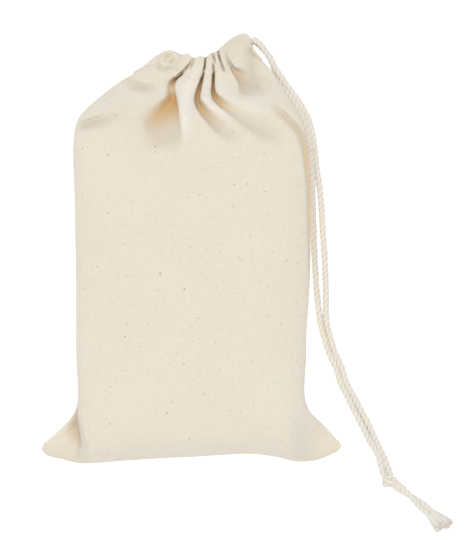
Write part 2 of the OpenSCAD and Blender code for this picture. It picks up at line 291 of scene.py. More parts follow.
def spline(points, step):
    """Points about step apart along a smooth curve through points of any number of columns."""
    p = np.array(points, float)
    p = np.vstack([2 * p[0] - p[1], p, 2 * p[-1] - p[-2]])
    knots = running(norm(np.diff(p[:, :3], axis=0), axis=1) ** 0.5)
    out = []
    for i in range(1, len(p) - 2):
        t0, t1, t2, t3 = knots[i - 1:i + 3]
        t = np.linspace(t1, t2, 24, endpoint=False)[:, None]
        a, b, c = (between(t, knots[k], knots[k + 1], p[k], p[k + 1]) for k in range(i - 1, i + 2))
        out.append(between(t, t1, t2, between(t, t0, t2, a, b), between(t, t1, t3, b, c)))
    return evenly(np.vstack(out + [p[-2][None]]), step)


def evenly(line, step):
    """Points about step apart along a line."""
    along = lengths_along(line)
    at = np.linspace(0, along[-1], max(2, int(round(along[-1] / step)) + 1))
    return np.stack([np.interp(at, along, line[:, k]) for k in range(line.shape[1])], axis=1)


def curve_at(points):
    """A function of 0 to 1 that gives points along a smooth curve, by length."""
    line = spline(points, 0.25)
    along = np.linspace(0, 1, len(line))
    return lambda t: np.stack([np.interp(t, along, line[:, k]) for k in range(line.shape[1])], axis=-1)


def ease(value, low, high):
    """0 up to low and 1 from high on, with a smooth rise between."""
    t = np.clip((value - low) / (high - low), 0, 1)
    return t * t * (3 - 2 * t)


def coons(left, right, low, high, f, t):
    """A surface between four edge curves: f goes from left to right, and t from low to high."""
    low, high, left, right = low(f)[None], high(f)[None], left(t)[:, None], right(t)[:, None]
    f, t = f[None, :, None], t[:, None, None]
    low_corners = (1 - f) * low[:, :1] + f * low[:, -1:]
    high_corners = (1 - f) * high[:, :1] + f * high[:, -1:]
    corners = (1 - t) * low_corners + t * high_corners
    return (1 - t) * low + t * high + (1 - f) * left + f * right - corners


# ---- pieces ----
def make_mesh(name, points, faces, material, uvs, fold):
    """A mesh from points in millimetres. For each point, uvs has its place along the threads, and fold
    its share of painted shade, which is below 0 where a crest has a painted highlight, and its share of warm
    painted shade."""
    mesh = bpy.data.meshes.new(name)
    mesh.from_pydata((np.asarray(points) * MM).tolist(), [], [list(map(int, f)) for f in faces])
    mesh.materials.append(material)
    index = np.empty(len(mesh.loops), int)
    mesh.loops.foreach_get("vertex_index", index)
    mesh.uv_layers.new(name="cloth").data.foreach_set("uv", np.asarray(uvs, float)[index].ravel())
    mesh.uv_layers.new(name="fold").data.foreach_set("uv", np.asarray(fold, float)[index].ravel())
    mesh.polygons.foreach_set("use_smooth", [True] * len(mesh.polygons))
    mesh.update()
    return new_object(name, mesh)


def grid_faces(rows, cols, start=0, flip=False, closed=False):
    a = np.arange(rows * cols).reshape(rows, cols) + start
    if closed:
        a = np.hstack([a, a[:, :1]])
    quads = np.stack([a[:-1, :-1], a[:-1, 1:], a[1:, 1:], a[1:, :-1]], axis=-1).reshape(-1, 4)
    return quads[:, ::-1] if flip else quads


def tube_faces(rows, sides, first):
    """Faces round a tube, and a cap at each of its ends."""
    last = first + (rows - 1) * sides
    caps = [list(range(first, first + sides))[::-1], list(range(last, last + sides))]
    return list(grid_faces(rows, sides, first, closed=True)) + caps


def frames_along(line):
    """Two directions across a line at each of its points, that turn as little as they can."""
    t = np.gradient(line, axis=0)
    t /= norm(t, axis=1)[:, None]
    u = np.cross(t[0], (0, 0, 1.0))
    u /= norm(u)
    us = [u]
    for k in range(1, len(t)):
        u = u - t[k] * (u @ t[k])
        u /= norm(u)
        us.append(u)
    us = np.array(us)
    return us, np.cross(t, us)


def circles(line, sides):
    """Angles round a line, and the way each of them points at each point of the line."""
    u, v = frames_along(line)
    angle = np.linspace(0, math.tau, sides, endpoint=False)[None]
    return angle, np.cos(angle)[..., None] * u[:, None] + np.sin(angle)[..., None] * v[:, None]


ROPE_SIDES = 24
# Length of one turn of the twist
PITCH = 6.0
# Radius of a strand: soft cotton stands a little full, and is thinner where the ends are wound together
COTTON_R = 1.06
END_R = 0.94


def rope_rings(line, radius, phase):
    """Rings of a three-ply twisted cord, a little uneven as soft cotton is, and their map: round the cord,
    along it, and the share of the groove between the plies, where shade is painted."""
    angle, outward = circles(line, ROPE_SIDES)
    along = lengths_along(line)
    turn = (phase + along * math.tau / PITCH + 0.35 * np.sin(0.31 * along + phase))[:, None]
    ply = np.abs(np.cos(1.5 * (angle - turn)))
    uneven = 1 + 0.035 * np.sin(0.83 * along + 2 * phase)
    r = radius * (0.83 + 0.21 * ply ** 0.6) * uneven[:, None]
    points = line[:, None] + r[..., None] * outward
    lengthways = np.broadcast_to(along[:, None], r.shape)
    return points, np.stack([(angle - turn) * 1.2, lengthways, (1 - ply) ** 1.5], axis=-1)


def rope_mesh(name, strands, material):
    """One mesh of several cords, each given as the rings and the map that rope_rings makes."""
    points, faces, uvs = [], [], []
    for rings, uv in strands:
        faces += tube_faces(len(rings), ROPE_SIDES, len(points))
        points += rings.reshape(-1, 3).tolist()
        uvs += uv.reshape(-1, 3).tolist()
    uvs = np.array(uvs)
    piece = make_mesh(name, points, faces, material, uvs[:, :2], uvs[:, [2, 2]])
    for face in piece.data.polygons:
        if len(face.vertices) == ROPE_SIDES:
            face.use_smooth = False
    return piece


# ---- drawstring ----
# Each strand's route: inside the hem, out of it, over the shoulder, and then along the surface to the knot
HEM_END_A = [(9.6, 62.6, 10.9), (10.6, 63.1, 10.5), (12.3, 64.3, 9.5), (15.2, 66.8, 7.8), (18.4, 69.4, 6.3)]
HEM_END_B = [(9.6, 62.6, 2.2), (10.6, 63.1, 2.1), (12.3, 64.3, 2.1), (15.2, 66.8, 2.1), (18.4, 69.4, 2.1)]
SHOULDER_A = [
    (21.2, 70.1, 6.1), (23.2, 68.5, 5.8), (25, 66.2, 5.4), (26.5, 64, 5), (27.9, 61.3, 4.4),
    (29.6, 58.7, 3.5), (31.7, 55.7, 2.3), (34.6, 51.9, 1.3), (37.4, 47.8, 1.1), (39.3, 43.9, 1.1),
    (40.5, 39.9, 1.1), (41.3, 35, 1.1),
]
SHOULDER_B = [
    (21.3, 69.9, 2.1), (23.3, 68.3, 2.1), (25.2, 66.2, 2.1), (26.7, 63.9, 2.1), (27.6, 61.3, 2),
    (28.1, 58.6, 1.9), (29.7, 55.2, 2.9), (32.6, 51.5, 3.4), (35.4, 47.4, 3.4), (37.4, 43.4, 3.3),
    (38.7, 39.4, 3.2), (39.6, 35, 3.1),
]
TAIL_A = [(x, y, 1.1) for x, y in (
    (41.5, 33.4), (41.9, 29), (43, 22), (43.7, 15), (44.3, 5), (44.8, -2), (45.1, -9), (45.3, -15),
    (45.3, -20), (45.5, -25), (46.8, -30), (48.3, -35), (50.6, -40), (52.1, -45), (54.8, -50), (57.4, -55),
    (60, -60), (62.2, -65), (64.7, -70),
)] + [(65.9, -73.2, 1.3), (66.9, -76, 1.9)]
TAIL_B = [
    (39.8, 33.4, 3), (40.2, 29, 2.7), (40.6, 22, 2), (40.8, 15, 1.4), (41.1, 5, 1.1), (41.4, -2, 1.1),
    (41.8, -9, 1.1), (42.2, -15, 1.1), (42.8, -20, 1.1), (43.4, -25, 1.1), (44.7, -30, 1.1), (46.3, -35, 1.1),
    (48.6, -40, 1.1), (50.2, -45, 1.2), (52.7, -50, 1.5), (55.1, -55, 1.6), (57.7, -60, 1.7), (60.3, -65, 2),
    (63.1, -70, 2), (63.9, -73.2, 1.7), (64.9, -76.2, 1.6),
]
KNOT_CORE = [(66.6, -78, 2), (68.2, -79.2, 1.9)]
# Past the knot the two short ends lie twisted round each other along one line
END_LINE = [
    (67.6, -78.8, 1.9), (70.2, -80.5, 1.8), (73.6, -83.1, 1.7), (77.4, -86.3, 1.7), (80.2, -88.7, 1.7),
]
END_TWIST = 0.80
END_TURNS = 0.55
TIP_A, TIP_B = (88.1, -93.4, 1.7), (84.2, -95.3, 1.7)


def frayed_tip(name, start, tip, spread_side, material, seed):
    """A cut end: its fibres flare out from the cord into a soft brush, and the outer ones bend away."""
    rng = np.random.default_rng(seed)
    start, tip = np.array(start, float), np.array(tip, float)
    reach = norm(tip - start)
    axis = (tip - start) / reach
    side = np.cross(axis, (0, 0, 1.0))
    side /= norm(side)
    up = np.cross(side, axis)
    points, faces, uvs = [], [], []
    fibres, rings, sides = 260, 8, 4
    for k in range(fibres):
        angle = rng.uniform(0, math.tau)
        spread = math.sqrt(rng.uniform(0, 1))
        length = reach * rng.uniform(0.80, 1.05) * (1 - 0.10 * spread)
        out = side * (math.cos(angle) + 0.22 * spread_side) + up * math.sin(angle) * 0.55
        wave = rng.uniform(-0.3, 0.3)
        thick = rng.uniform(0.18, 0.30)
        first = len(points)
        for i in range(rings):
            t = i / (rings - 1)
            flare = (0.65 + 1.25 * t ** 1.3) * spread
            centre = start + axis * (length * t - 0.5) + out * flare + side * wave * math.sin(3 * t)
            centre[2] = max(centre[2], 0.2)
            for j in range(sides):
                a = math.tau * j / sides
                points.append(centre + thick * (1 - 0.5 * t) * (math.cos(a) * side + math.sin(a) * up))
                uvs.append((k * 1.7 + j * 0.1, t * 4))
        faces += tube_faces(rings, sides, first)
    return make_mesh(name, points, faces, material, uvs, np.zeros((len(points), 2)))


def overhand_knot(material):
    """The loop of an overhand knot drawn tight: it passes once round the strands, over and then under."""
    across = np.array([0.985, 0.17, 0.0])
    down = np.array([0.17, -0.985, 0.0])
    strands = []
    for centre, wide, phase in (((66.9, -78.6, 2.05), 1.80, 0.0), ((66.1, -77.2, 1.80), 1.05, 0.6)):
        turns = np.linspace(-0.08, 1.08, 48)
        angle = turns * math.tau - math.pi / 2
        line = np.array([
            np.array(centre) + across * wide * math.cos(a) + down * 0.9 * (t - 0.5)
            + np.array([0, 0, 1.25 * math.sin(a)])
            for t, a in zip(turns, angle)
        ])
        line[:, 2] = np.maximum(line[:, 2], 1.0)
        strands.append(rope_rings(evenly(line, 0.3), COTTON_R, phase))
    return rope_mesh("drawstring_knot", strands, material)


def twisted_end(turn_at):
    """One of the two short ends, wound round their common line."""
    line = spline(END_LINE, 0.35)
    u, v = frames_along(line)
    share = np.linspace(0, 1, len(line))
    angle = (turn_at + share * END_TURNS * math.tau)[:, None]
    wide = END_TWIST * (0.55 + 0.45 * ease(share, 0, 0.25))[:, None]
    return line + wide * (np.cos(angle) * u + 0.85 * np.sin(angle) * v)


def line_length(line):
    return float(lengths_along(line)[-1]) * MM


def make_drawstring(material):
    knot = overhand_knot(material)
    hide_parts("tail_knot")
    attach(knot, "tails")
    for letter, hem_end, shoulder, tail, tip, phase, turn_at, side, seed in (
        ("a", HEM_END_A, SHOULDER_A, TAIL_A, TIP_A, 0.0, 0.0, 1, 11),
        ("b", HEM_END_B, SHOULDER_B, TAIL_B, TIP_B, 1.0, math.pi, -1, 12),
    ):
        whole = spline(hem_end + shoulder + tail + KNOT_CORE, 0.4)
        split = int(np.argmin(norm(whole - np.array(tail[0]), axis=1)))
        over, down = whole[:split + 1], whole[split:]
        rings, uvs = rope_rings(whole, COTTON_R, phase)
        short = twisted_end(turn_at)
        upper = rope_mesh(f"shoulder_cord_{letter}", [(rings[:split + 1], uvs[:split + 1])], material)
        lower = rope_mesh(f"tail_cord_{letter}", [(rings[split:], uvs[split:])], material)
        ending = rope_mesh(f"short_end_{letter}", [rope_rings(short, END_R, phase + 2.0)], material)
        tuft = frayed_tip(f"frayed_tip_{letter}", short[-1], tip, side, material, seed)
        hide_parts(f"shoulder_strand_{letter}")
        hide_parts(f"tail_strand_{letter}")
        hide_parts(f"end_strand_{letter}")
        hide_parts(f"end_tuft_{letter}")
        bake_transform(upper)
        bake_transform(lower)
        for piece in (ending, tuft):
            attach(piece, "tail_end")
        line_length(over)
        line_length(down)


# ---- the sack's cloth ----
LEFT_EDGE = smooth_table([
    (-50, -37), (-46, -37.6), (-40, -38.4), (-30, -38.4), (-20, -38.4), (-10, -38.4), (0, -38.6), (15, -38.8),
    (30, -39.4), (36, -39.7), (39, -39.5), (42, -38.8),
])
RIGHT_EDGE = smooth_table([
    (-50, 36.8), (-45, 37.6), (-40, 38.4), (-30, 38.4), (-20, 39), (-10, 39.6), (0, 39.8), (20, 39.7),
    (28, 39.4), (34, 38.9), (38, 38.3), (42, 37.2),
])
FRONT_HEIGHT = smooth_table([
    (-72, 26.6), (-40, 26.8), (0, 27), (26, 26.9), (34, 26.4), (38, 25.8), (42, 24.4), (46, 22), (50, 18.9),
    (54, 16), (58, 14.4), (62, 13.9), (66, 13.7), (74, 13.4),
])
SEAM_HEIGHT = 13.0
# Edge curves of the bottom: the seam from tip to tip, and the corners' outer edges from tip to root
BOTTOM_SEAM = curve_at([
    (-50.4, -67.2, 3), (-49.4, -68.9, 3), (-47, -69.9, 3.4), (-44, -70.5, 4.2), (-38, -71.8, 6.2),
    (-31, -71.6, 8.4), (-24, -70.9, 9.6), (-10, -70, 10.2), (0, -69.5, 10.2), (12, -68.8, 10),
    (20, -68.5, 9.6), (28, -69.5, 8.4), (35, -71.2, 6.4), (41, -71.1, 4.4), (46, -69.5, 3.4),
    (49.4, -67.7, 3), (50.5, -66.3, 3),
])
LEFT_CORNER = curve_at([
    (-50.4, -67.2, 3), (-49.7, -65.5, 3.4), (-47.4, -63.4, 4.4), (-44.4, -60.8, 6), (-41.6, -58, 8),
    (-39.2, -55.4, 10), (-37.7, -52.6, 11.8), (-37, -50, 13),
])
RIGHT_CORNER = curve_at([
    (50.5, -66.3, 3), (49.7, -64.9, 3.4), (47.9, -62.9, 4.4), (46, -60.8, 5.8), (43.3, -58, 7.8),
    (40.6, -55.6, 9.8), (38.2, -52.8, 11.7), (36.8, -50, 13),
])
# Edge curves of the neck: its side seams, and the rim of the mouth on the front and the back. The right
# seam stops under the cord's exit, and past it the front and the back stand apart as two open tunnels.
LEFT_NECK = curve_at([
    (-38.8, 42, 12.6), (-37.9, 43.9, 12), (-34.2, 47.8, 10.4), (-29.7, 51.7, 9), (-24.7, 55.7, 8),
    (-21.2, 57.8, 7.4), (-17.8, 59.8, 7), (-14.9, 61.8, 7), (-11.8, 63.8, 7.6),
])
RIGHT_SEAM = [
    (37.2, 42, 12.6), (35.3, 46, 11.2), (32.8, 50, 9.6), (30.4, 54, 8.2), (28.5, 57.4, 7), (26.3, 60.6, 6.2),
    (23.6, 63.4, 5.6), (21.5, 66, 5.2),
]
RIGHT_NECK_FRONT = curve_at(RIGHT_SEAM + [(20.2, 68.4, 7.2), (20, 70.4, 8.6)])
RIGHT_NECK_BACK = curve_at(RIGHT_SEAM + [(20.2, 68.4, 2.6), (20, 70.4, 1.2)])
FRONT_RIM = curve_at([
    (-11.8, 63.8, 7.6), (-10.8, 65.2, 9.6), (-9, 66.2, 11.6), (-6.6, 66.5, 12.6), (-4.7, 65.7, 13),
    (-2.9, 65.1, 13.2), (-1.3, 65.4, 13.4), (0, 64.4, 13.3), (1.4, 63.8, 13.4), (3, 64.5, 13.6),
    (4.7, 64.2, 13.4), (5.8, 65, 13.5), (7, 65.7, 13.4), (8.2, 66, 13.4), (9, 66.6, 13.1), (10.4, 68, 12.6),
    (12.6, 70, 11.8), (15.2, 71.7, 10.8), (17.4, 72.3, 10), (19.2, 71.8, 9.2), (20, 70.4, 8.6),
])
BACK_RIM = curve_at([
    (-11.8, 63.8, 7.6), (-11, 64.5, 5), (-8.6, 65, 2.8), (-4.5, 64.6, 1.6), (0, 63.2, 1.2), (4, 63.2, 1.2),
    (8, 64.4, 1.2), (10.4, 66.6, 1.2), (12.6, 68.6, 1.2), (15.2, 70.2, 1.2), (17.4, 70.9, 1.2),
    (19.2, 71, 1.2), (20, 70.4, 1.2),
])
# The hem: how far its two layers stand apart round the cord, on the front and the back
RIM_ROUND = 1.5
FRONT_GAP, FRONT_END_GAP, BACK_GAP = 4.7, 4.3, 3.6
HEM_SEWN = 9.2
# How far the hem's inner layer stays inside the side seams, over this many columns
LEFT_INSET, RIGHT_INSET = np.array([0.9, -0.5]), np.array([-0.5, -0.4])
INSET_COLUMNS = 24

COLUMNS = 320
CORNER_ROWS, BODY_ROWS, NECK_ROWS, HEM_ROWS = 58, 90, 96, 30
CORNER_LENGTH = 19.5
# How full the flat corners are, and how often the rows beside the corners and the neck are evened out
CORNER_BULGE = 1.0
SMOOTHING = 70

# Folds of the gathered neck. Each is a valley along a curve: x, y, depth, then its width on the
# right hand and on the left hand of someone who walks down it from the mouth.
FOLDS = {
    "beside_rosette": [
        (0.4, 63.4, 0.9, 0.4, 0.4), (-0.6, 61.8, 2.1, 0.4, 0.4), (-2.1, 59.9, 3.6, 0.45, 0.45),
        (-3.4, 58.4, 6.2, 0.7, 0.6), (-4.9, 57, 5.4, 0.9, 0.6), (-6, 55.4, 3.4, 1.8, 0.9),
        (-6.4, 53.4, 2.2, 2.2, 1.2), (-5.9, 51.4, 3.8, 3.2, 0.9), (-5.4, 49.4, 5, 5.4, 0.8),
        (-4.9, 47, 3.9, 7.2, 0.8), (-4.5, 44.4, 2.1, 8.4, 0.8), (-4.2, 41.4, 0.7, 8.4, 1),
        (-4, 38.4, 0, 8, 1.2),
    ],
    "pocket": [
        (-5.4, 51.4, 0, 1.6, 2), (-6.6, 49.4, 1.8, 2.4, 3.4), (-8.6, 47, 3.6, 3.6, 6.4),
        (-10.8, 44.6, 3.5, 4.6, 7.6), (-13, 42.2, 2.2, 5.6, 7.6), (-15.6, 39.6, 0, 6, 7),
    ],
    "beside_middle": [
        (0.9, 64, 0.6, 0.5, 0.5), (0.6, 62.8, 1.8, 0.6, 0.6), (0, 61.2, 1.4, 0.6, 0.6),
        (-0.5, 59.8, 0, 0.6, 0.6),
    ],
    "middle": [
        (4.9, 65, 1, 0.4, 0.4), (4.7, 63, 2.6, 0.4, 0.4), (4.4, 60.6, 4.2, 0.45, 0.45),
        (3.8, 58, 5.8, 0.55, 0.55), (3.2, 55.4, 5.4, 0.8, 0.7), (2.6, 52.8, 5, 1.2, 0.9),
        (2.1, 50.2, 4.8, 1.4, 1.2), (2.4, 47.8, 4.5, 1.3, 2.4), (3.7, 45.4, 4, 1.2, 3.4),
        (5.9, 42.8, 3.4, 1.4, 4.6), (8.8, 40.4, 2.8, 2.2, 5.8), (12.6, 38, 1.9, 3.2, 6.4),
        (18, 35.2, 0, 3, 6),
    ],
    "right": [
        (7.3, 62.4, 0, 0.4, 0.4), (7.4, 60.4, 3.4, 0.45, 0.45), (7.4, 57.6, 5.8, 0.6, 0.6),
        (7.3, 54.6, 5.2, 0.7, 0.7), (7.3, 52, 4.8, 0.9, 1.3), (7.9, 49.9, 4.3, 1, 2.4),
        (9.7, 48, 3.6, 1.1, 3), (12.6, 46.1, 2.8, 1.6, 3.8), (16.2, 43.6, 2.3, 2.4, 5),
        (20.4, 40.8, 2.7, 3, 5.8), (25, 38.2, 2.4, 3.6, 6.4), (29, 36.6, 1.4, 3.6, 6.4),
        (33.5, 35.6, 0, 3, 6),
    ],
    "rim_pleat": [
        (7, 65.6, 0.8, 0.4, 0.4), (7.4, 64.2, 2, 0.4, 0.4), (7.9, 62.8, 1.2, 0.4, 0.4),
        (8.2, 61.6, 0, 0.4, 0.4),
    ],
    "last_pleat": [
        (8.9, 66, 1.1, 0.45, 0.45), (9.3, 64.4, 2.6, 0.45, 0.45), (10, 62, 2.9, 0.5, 0.5),
        (10.7, 60.2, 1.6, 0.6, 0.6), (11.3, 58.8, 0, 0.6, 0.6),
    ],
    "under_hem_end": [
        (11.8, 65, 0.4, 0.8, 0.8), (12.6, 62.6, 1.7, 0.8, 0.9), (13.8, 60.2, 3, 0.9, 1.4),
        (15.2, 58.2, 4.4, 1.1, 3.8), (16.6, 56, 4, 1.4, 5), (17.6, 53.4, 2.2, 2.2, 6.4), (18.6, 50, 0, 3, 7),
    ],
    "hem_end_side": [
        (19.6, 69.4, 0, 2.4, 1), (20.4, 66.8, 0.9, 3.4, 1), (20.8, 64.2, 1.5, 4.6, 1.6),
        (20.8, 61, 1.7, 5.4, 3.4), (21.2, 57.4, 1.8, 6, 5.4), (22.4, 53.8, 1.3, 6, 6),
        (24.4, 50.2, 0, 5.4, 5.4),
    ],
    "dimple": [
        (-5.4, 47.6, 0, 7, 0.8), (-4.8, 43.6, 0.5, 13, 0.8), (-4.4, 40, 0.8, 15.5, 1.3),
        (-4.6, 36.6, 0.6, 16.5, 2.4), (-5.2, 33.4, 0.3, 16, 3.2), (-6, 30.5, 0, 14, 3.4),
    ],
    "dimple_foot": [
        (-9, 46.5, 0, 8, 4), (-10.2, 42.5, 0.5, 10, 5.2), (-10.6, 38.4, 0.8, 10.5, 6.2),
        (-10.2, 34.8, 0.8, 9.5, 6.4), (-9.6, 31.6, 0, 8, 6),
    ],
    "under_cord": [
        (26.2, 50.2, 0, 2.4, 1.1), (28.4, 47.4, 1, 2.6, 1.1), (30.5, 45.2, 1.6, 2.6, 1.1),
        (32.8, 43, 2.2, 2.6, 1.3), (35.2, 40.4, 3, 2.6, 1.4), (37.1, 37.4, 3.8, 2.6, 1.4),
        (38.1, 33.6, 4.4, 2.2, 1.5), (38.8, 27, 4.6, 1.7, 1.5), (39.2, 20, 4.6, 1.4, 1.4),
        (39.3, 11, 4.2, 1.2, 1.4), (39.4, 2, 3.2, 1.1, 1.4), (39.4, -6, 1.6, 1, 1.4), (39.4, -12, 0, 1, 1.4),
    ],
    "left_shoulder": [
        (-39, 40.6, 1.2, 1.8, 1.4), (-36, 41.3, 2.8, 2.8, 1.9), (-31.5, 42.4, 2.8, 3.6, 2.6),
        (-27, 43.6, 1.6, 3.6, 2.8), (-22, 45.6, 0, 3.4, 2.6),
    ],
    "wing": [
        (-11.6, 54.8, 0, 1.2, 1.6), (-14, 54.2, 1.3, 1.5, 2.4), (-17, 54.4, 2, 1.7, 3),
        (-20.2, 55.4, 1.2, 1.7, 2.8), (-24, 56.8, 0, 1.4, 2),
    ],
    "left_corner": [
        (-37.6, -50, 0, 4, 0.7), (-38, -53.5, 1.8, 4.6, 0.7), (-38.1, -57, 2.8, 5.6, 0.7),
        (-37.8, -60.5, 3, 6.4, 0.8), (-37.2, -63.6, 2.4, 6, 1.2), (-36.8, -66.4, 0.9, 4.6, 1.8),
        (-36.6, -69, 0, 3.4, 2),
    ],
}
# How much each fold's depth counts as painted shade, and as warm painted shade
FOLD_PAINTED_SHADES = {
    "beside_rosette": (0.6, 1.30), "pocket": (0.35, 1.20), "beside_middle": (0.5, 0.3), "middle": (0.1, 1.1),
    "right": (0.1, 1.1), "rim_pleat": (0.6, 0.3), "last_pleat": (0.6, 0.4), "under_hem_end": (1.6, 0.45),
    "hem_end_side": (1, 0.25), "dimple": (3.2, 0.9), "dimple_foot": (1.7, 1.1), "under_cord": (0.9, 0.65),
    "left_shoulder": (0.65, 0.1), "wing": (0.8, 0), "left_corner": (0.8, 0.6),
}
# Folds that end in slopes with more painted shade and no warm painted shade: the y where the warm shade is
# gone, and where it is full
FADING = {"beside_rosette": (28, 43), "pocket": (27, 42), "middle": (37, 47), "right": (37, 47)}
# The painted shade that those slopes gain
FOOT_SHADE = 0.5
# The share of painted highlight that each crest gets, and the crests between the folds: x, y, height,
# half-width
CREST_LIGHT = (1, 1, 0.55, 0.1, 0.3)
CRESTS = [
    [
        (2.6, 63, 0.1, 1.4), (1.4, 59, 0.7, 2), (-0.8, 54.5, 1.1, 2.4), (-1.9, 50.5, 1.4, 2.2),
        (-1.7, 46, 1.5, 2), (-1.6, 41, 1.1, 1.8), (-1.6, 35.5, 0, 1.6),
    ],
    [
        (5.9, 62, 0.1, 0.9), (5.5, 57, 0.5, 1), (4.8, 52, 0.9, 1.2), (5.2, 49, 1.1, 1.5), (8, 46, 1, 2),
        (12.6, 43, 0.7, 2.6), (18, 39, 0, 3.2),
    ],
    [
        (10.2, 58, 0.2, 1.8), (10.2, 54, 0.7, 2.2), (11.6, 51, 1.1, 2.2), (16, 48.6, 1.1, 2.6),
        (22, 46.8, 0.9, 3), (27, 44.4, 0, 3.2),
    ],
    [
        (-9.6, 59, 0.2, 2), (-9.4, 56.4, 0.9, 2.4), (-9.6, 53.2, 1.2, 2.6), (-11.6, 50.6, 1.3, 2.8),
        (-16, 48, 1, 3.8), (-22.5, 45.6, 0, 4.4),
    ],
    [
        (28.6, 50, 0, 1.2), (31, 46.8, 1.3, 1.4), (33.2, 43.4, 1.6, 1.4), (35.2, 39.4, 1.2, 1.2),
        (37, 33, 0, 1),
    ],
]


def nearest_on(line, x, y):
    """For each point, the nearest place on a line: its distance, its side (1 on the left hand), its index."""
    px, py = x.ravel(), y.ravel()
    index = np.empty(px.size, int)
    for start in range(0, px.size, 20000):
        part = slice(start, start + 20000)
        d2 = (px[part, None] - line[None, :, 0]) ** 2 + (py[part, None] - line[None, :, 1]) ** 2
        index[part] = d2.argmin(axis=1)
    way = np.gradient(line[:, :2], axis=0)
    way /= norm(way, axis=1)[:, None]
    dx, dy = px - line[index, 0], py - line[index, 1]
    side = np.sign(way[index, 0] * dy - way[index, 1] * dx)
    return np.hypot(dx, dy).reshape(x.shape), side.reshape(x.shape), index.reshape(x.shape)


def fold_depth(x, y, points):
    """Depth of one fold: a narrow side is a steep pleat wall, and a wide side a slow slope."""
    line = spline(points, 0.25)
    distance, side, index = nearest_on(line, x, y)
    width = np.maximum(np.where(side < 0, line[index, 3], line[index, 4]), 0.1)
    reach = np.clip(1 - distance / width, 0, 1)
    wide = ease(width, 1.6, 5)
    steep = ease(reach, 0, 0.80)
    slow = reach ** 1.7 * (1 + 0.3 * (1 - reach))
    return np.maximum(line[index, 2], 0) * ((1 - wide) * steep + wide * slow)


def crest_height(x, y, points):
    line = spline(points, 0.25)
    distance, _, index = nearest_on(line, x, y)
    return np.maximum(line[index, 2], 0) * np.exp(-(distance / line[index, 3]) ** 2)


def rosette(x, y):
    """The hem's curled left end: a soft uneven puff, with a groove that winds into it."""
    dx, dy = x + 7.3, y - 63.4
    r, angle = np.hypot(dx, dy), np.arctan2(dy, dx)
    uneven = r / (1 + 0.14 * np.cos(2 * angle - 0.8) + 0.08 * np.cos(3 * angle + 1))
    puff = 1.0 * np.exp(-((uneven - 2.1) / 1.1) ** 2) + 0.5 * np.exp(-(r / 1.0) ** 2)
    groove_r = 1.25 + 0.22 * np.sin(angle - 0.6)
    strength = 0.25 + 0.75 * np.maximum(np.cos(angle - 2), np.cos(angle + 0.9)) ** 2
    groove = 1.6 * strength * np.exp(-((r - groove_r) / 0.55) ** 2)
    below = np.exp(-(np.sin((angle + 2.5) / 2) / 0.5) ** 2)
    crease = 0.9 * np.exp(-((uneven - 3.6) / 0.6) ** 2) * (0.3 + 0.7 * below)
    return puff - groove - crease


def soft_noise(x, y, seed, wave):
    """Smooth irregular swells: a sum of waves with seeded directions, about 1 high."""
    rng = np.random.default_rng(seed)
    total = np.zeros_like(x)
    count = 26
    for _ in range(count):
        angle = rng.uniform(0, math.pi)
        k = math.tau / (wave * rng.uniform(0.6, 1.8))
        total += np.cos(k * (x * math.cos(angle) + y * math.sin(angle)) + rng.uniform(0, math.tau))
    return total / math.sqrt(count / 2) / 2


def section_places():
    """Places across the cloth, from -1 at the left seam to 1 at the right, closer at the gathers."""
    angle = np.linspace(0, math.pi, 40001)
    x = -np.sign(np.cos(angle)) * np.abs(np.cos(angle)) ** (2 / 3.5)
    z = np.sin(angle) ** (2 / 3.5)
    closer = 1 + 1.4 * np.exp(-((x[1:] - 0.12) / 0.36) ** 2)
    along = running(np.hypot(np.diff(x) * 38.5, np.diff(z) * 14) * closer)
    return np.interp(np.linspace(0, along[-1], COLUMNS), along, x)


def section_height(x, power):
    return np.clip(1 - np.abs(x) ** power, 0, 1) ** (1 / power)


def corner_places():
    """Places from the bottom seam to the corners' root, even along the cloth as it turns up."""
    t = np.linspace(0, 1, 8001)
    z = 16 * bottom_rounding(t)
    along = running(np.hypot(np.diff(t) * CORNER_LENGTH, np.diff(z)))
    return np.interp(np.linspace(0, along[-1], CORNER_ROWS), along, t)


def bottom_rounding(t):
    run = np.clip(t * CORNER_LENGTH / 11.5, 0, 1)
    return (1 - (1 - run) ** 2.3) ** (1 / 2.3)


def level_line(y, z):
    """The straight line across the cloth at one place along it, as a function of 0 to 1."""
    left, right = float(LEFT_EDGE(y)), float(RIGHT_EDGE(y))
    return lambda f: np.stack([left + (right - left) * f, np.full_like(f, y), np.full_like(f, z)], axis=-1)


